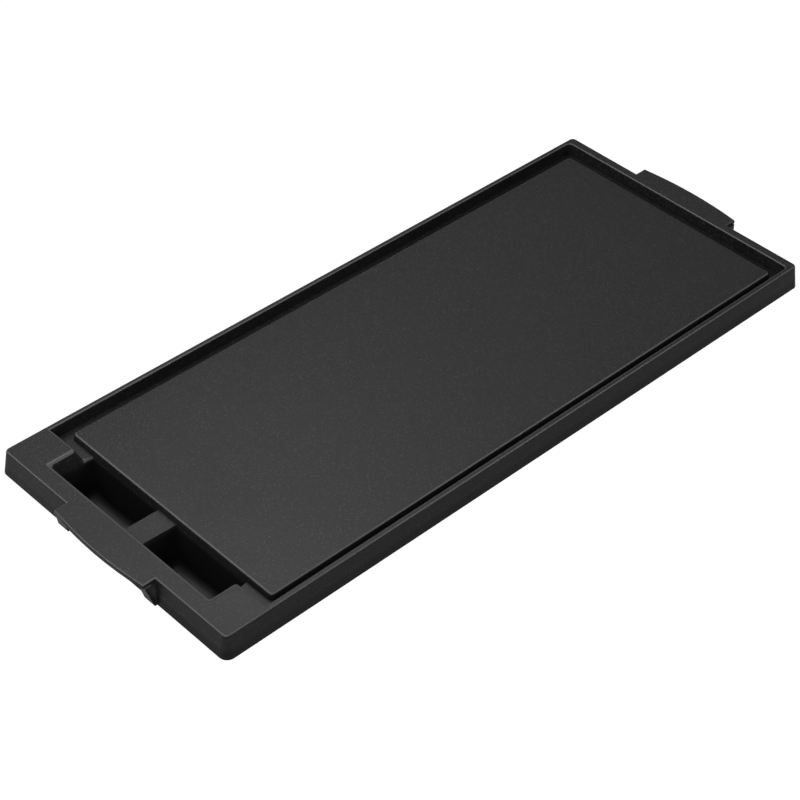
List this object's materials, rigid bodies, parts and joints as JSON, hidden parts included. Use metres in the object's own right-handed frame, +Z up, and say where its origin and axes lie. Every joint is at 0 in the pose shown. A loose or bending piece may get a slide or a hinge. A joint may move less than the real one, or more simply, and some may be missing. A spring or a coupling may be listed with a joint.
{
  "type": "electric griddle",
  "caption": "Long low griddle: a black coated cast plate with a drain channel, drip chutes and end handles, over a tubular element and a base pan, with a slide-out drip tray.",
  "frame": {"origin": "middle of the whole griddle's plan, on the table under its feet", "axes": "+X along the plate away from the drip end, +Y across it towards the inlet's side, +Z up out of the cooking surface"},
  "size_m": [0.5606, 0.2252, 0.044],
  "materials": {
    "coated_casting": "black non-stick coating, fine pebbled, semi-matt",
    "element_sheath": "heat-darkened steel sheath",
    "bright_steel": "bright stainless",
    "ceramic": "unglazed cream ceramic",
    "plated_steel": "zinc plated",
    "reflector_sheet": "aluminised sheet",
    "pan_paint": "black heat-proof paint, satin",
    "black_phenolic": "moulded phenolic, satin",
    "rail_steel": "plated sheet, rolled",
    "tray_sheet": "dark grey coated sheet, semi-matt",
    "foot_rubber": "moulded silicone rubber, matt"
  },
  "bodies": {
    "griddle": {"griddle_plate": "coated_casting", "heating_element": "element_sheath", "terminal_pins": "bright_steel", "pin_insulators": "ceramic", "sensor_tube": "bright_steel", "element_clamps": "plated_steel", "clamp_screws": "plated_steel", "heat_reflector": "reflector_sheet", "reflector_spacers": "plated_steel", "base_pan": "pan_paint", "base_screws": "plated_steel", "base_washers": "plated_steel", "inlet_shroud": "black_phenolic", "inlet_screws": "plated_steel", "inlet_nuts": "plated_steel", "tray_rail_left": "rail_steel", "tray_rail_right": "rail_steel", "rail_screws": "plated_steel", "rubber_feet": "foot_rubber", "foot_screws": "plated_steel", "foot_nuts": "plated_steel"},
    "tray": {"drip_tray": "tray_sheet"}
  },
  "joints": [
    {"name": "tray_slide", "type": "slide", "parent": "griddle", "child": "tray", "axis": [-1, 0, 0], "range_m": [0, 0.045]}
  ]
}
